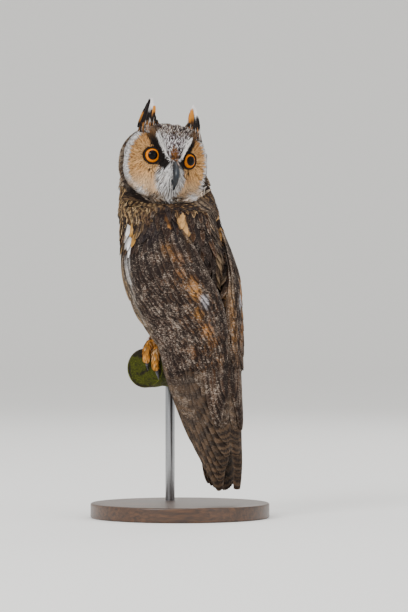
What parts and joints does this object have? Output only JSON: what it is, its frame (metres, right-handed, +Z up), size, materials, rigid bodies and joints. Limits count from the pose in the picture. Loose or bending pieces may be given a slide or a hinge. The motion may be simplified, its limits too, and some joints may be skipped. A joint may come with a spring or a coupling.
{
  "type": "long-eared owl display model",
  "caption": "Life-size long-eared owl gripping a short cut perch, looking back over its shoulder, held on a round base by one rod.",
  "frame": {"origin": "centre of the underside of the stand's round base", "axes": "+Z up through the bird; -Y is the side that the owl's face looks towards; the bird's back is turned to -Y and its breast to the +Y, -X quarter"},
  "size_m": [0.17, 0.17, 0.3981],
  "materials": {
    "plumage": "matt mottled feather",
    "face_plumage": "soft buff feather",
    "vane_feather": "matt barred feather",
    "horn": "satin keratin",
    "eye_surface": "wet gloss",
    "bark": "rough mossy bark",
    "stand_wood": "satin varnish",
    "rod_steel": "brushed"
  },
  "bodies": {
    "root": {"torso": "plumage", "neck": "plumage", "head": "face_plumage", "tail": "vane_feather", "wing_left": "vane_feather", "wing_right": "vane_feather", "ear_tuft_left": "vane_feather", "ear_tuft_right": "vane_feather", "eye_left": "eye_surface", "eye_right": "eye_surface", "bill_upper": "horn", "bill_lower": "horn", "leg_left": "face_plumage", "leg_right": "face_plumage", "foot_left": "face_plumage", "foot_right": "face_plumage", "claw_left_1": "horn", "claw_left_2": "horn", "claw_left_3": "horn", "claw_left_4": "horn", "claw_right_1": "horn", "claw_right_2": "horn", "claw_right_3": "horn", "claw_right_4": "horn", "perch": "bark", "stand_base": "stand_wood", "stand_rod": "rod_steel"}
  },
  "joints": []
}
